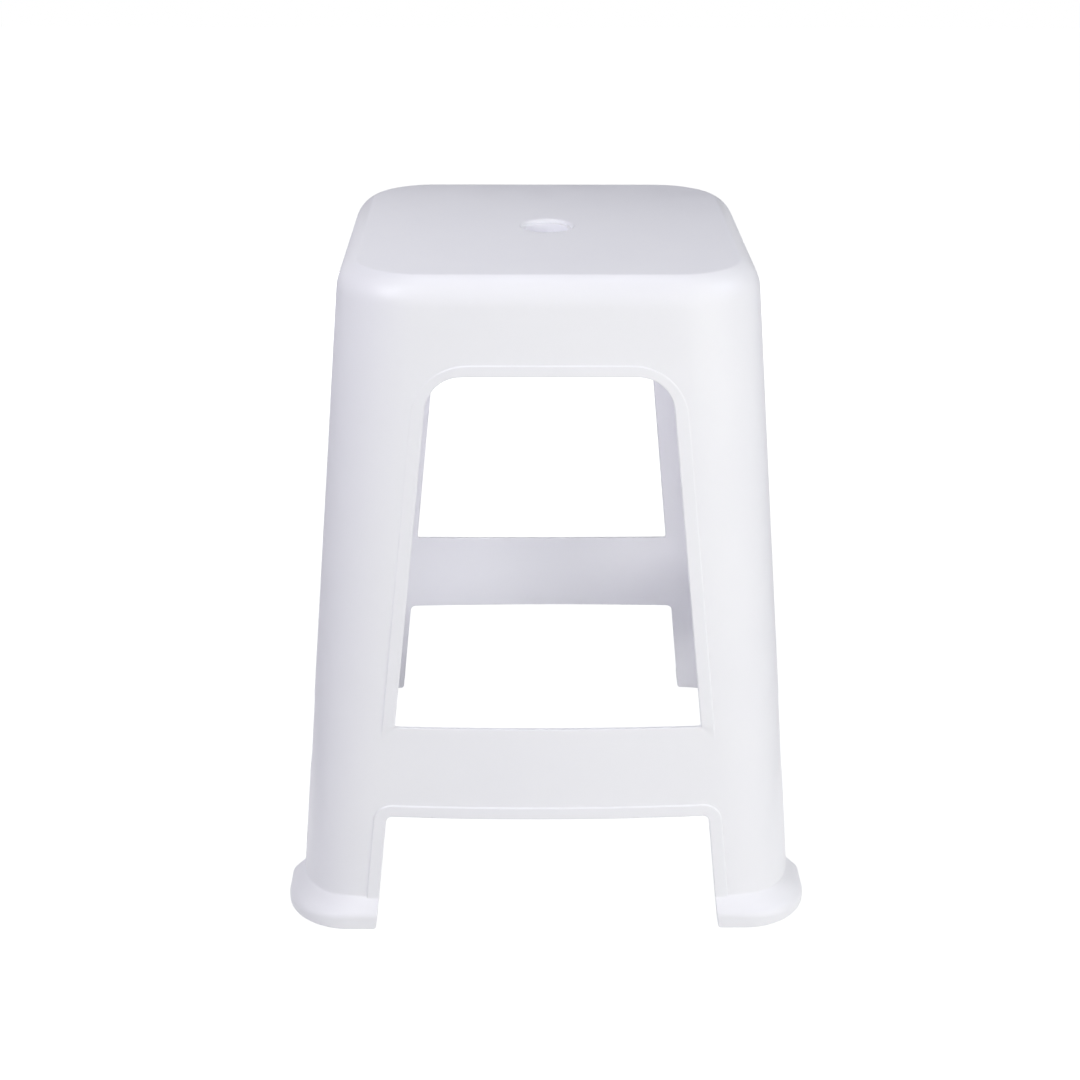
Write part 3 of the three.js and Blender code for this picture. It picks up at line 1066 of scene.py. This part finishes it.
def flat_sheet(name, half_width, half_depth, material):
    """A level rectangle round the origin, sized in metres."""
    sheet = mesh_object(name, bpy.data.meshes.new(name))
    corners = [
        (-half_width, -half_depth, 0),
        (half_width, -half_depth, 0),
        (half_width, half_depth, 0),
        (-half_width, half_depth, 0),
    ]
    sheet.data.from_pydata(corners, [], [(0, 1, 2, 3)])
    sheet.data.materials.append(material)
    return sheet


def seen_rays(tree):
    """1 for rays that show a surface or its reflection, and 0 for those that only light it."""
    path = tree.nodes.new("ShaderNodeLightPath")
    total = path.outputs["Is Camera Ray"]
    for name in ("Is Glossy Ray", "Is Transmission Ray"):
        ray = path.outputs[name]
        total = linked(tree, "ShaderNodeMath", operation="MAXIMUM", in_0=total, in_1=ray).outputs[0]
    return total


def mix(tree, share, first, second):
    return linked(tree, "ShaderNodeMixShader", in_0=share, in_1=first, in_2=second).outputs[0]


def make_floor():
    """A white floor that keeps a faint shadow: a glow that only shows, over a pale surface that takes light.

    Seen from below it is clear, so that the underside of the stool shows.
    """
    material, tree = new_material("floor")
    tree.nodes.remove(tree.nodes["Principled BSDF"])
    pale = linked(tree, "ShaderNodeBsdfDiffuse", in_Color=FLOOR_PALE).outputs[0]
    dim = linked(tree, "ShaderNodeBsdfDiffuse", in_Color=FLOOR_DIM).outputs[0]
    place_in = tree.nodes.new("ShaderNodeTexCoord").outputs["Object"]
    away = linked(tree, "ShaderNodeVectorMath", operation="LENGTH", in_0=place_in).outputs["Value"]
    strength = spread(tree, away, *SHADOW_REACH, FLOOR_GLOW, 1)
    glow = linked(tree, "ShaderNodeEmission", in_Color=WHITE, in_Strength=strength).outputs[0]
    shown = linked(tree, "ShaderNodeAddShader", in_0=dim, in_1=glow).outputs[0]
    from_above = mix(tree, seen_rays(tree), pale, shown)
    below = tree.nodes.new("ShaderNodeNewGeometry").outputs["Backfacing"]
    clear = tree.nodes.new("ShaderNodeBsdfTransparent").outputs[0]
    whole = mix(tree, below, from_above, clear)
    tree.links.new(whole, tree.nodes["Material Output"].inputs["Surface"])
    floor = flat_sheet("floor", FLOOR_REACH, FLOOR_REACH, material)


def make_cards():
    """Cards that only darken the stool's gloss: a sloped grey one on each side, and a low dark one behind."""
    for name, place_at, size, turns, grey in CARDS:
        material, tree = new_material(name)
        shader = tree.nodes["Principled BSDF"]
        shader.inputs["Base Color"].default_value = (grey, grey, grey, 1)
        shader.inputs["Roughness"].default_value = CARD_ROUGHNESS
        card = flat_sheet(name, *[reach / 2 * MM for reach in size], material)
        card.location = Vector(place_at) * MM
        card.rotation_euler = (*[radians(turn) for turn in turns], 0)
        card.visible_camera = card.visible_diffuse = card.visible_shadow = False


def make_world():
    """Soft light from all round, seen as plain white."""
    world = bpy.data.worlds.new("studio")
    bpy.context.scene.world = world
    world.use_nodes = True
    tree = world.node_tree
    lit = tree.nodes["Background"]
    lit.inputs["Color"].default_value = WHITE
    lit.inputs["Strength"].default_value = AMBIENT_STRENGTH
    white = linked(tree, "ShaderNodeBackground", in_Color=WHITE, in_Strength=1).outputs[0]
    whole = mix(tree, seen_rays(tree), lit.outputs[0], white)
    tree.links.new(whole, tree.nodes["World Output"].inputs["Surface"])


def make_lamps():
    for name, place_at, aim, size, strength, colour, glossy in LAMPS:
        light = bpy.data.lights.new(name, "AREA")
        light.size = size * MM
        light.energy = strength
        light.color = colour
        lamp = bpy.data.objects.new(name, light)
        bpy.context.scene.collection.objects.link(lamp)
        lamp.location = Vector(place_at) * MM
        lamp.rotation_euler = (Vector(aim) - Vector(place_at)).to_track_quat("-Z", "Y").to_euler()
        lamp.visible_camera = False
        lamp.visible_glossy = glossy


make_camera()
make_floor()
make_cards()
make_world()
make_lamps()
bpy.context.scene.view_settings.view_transform = "Standard"
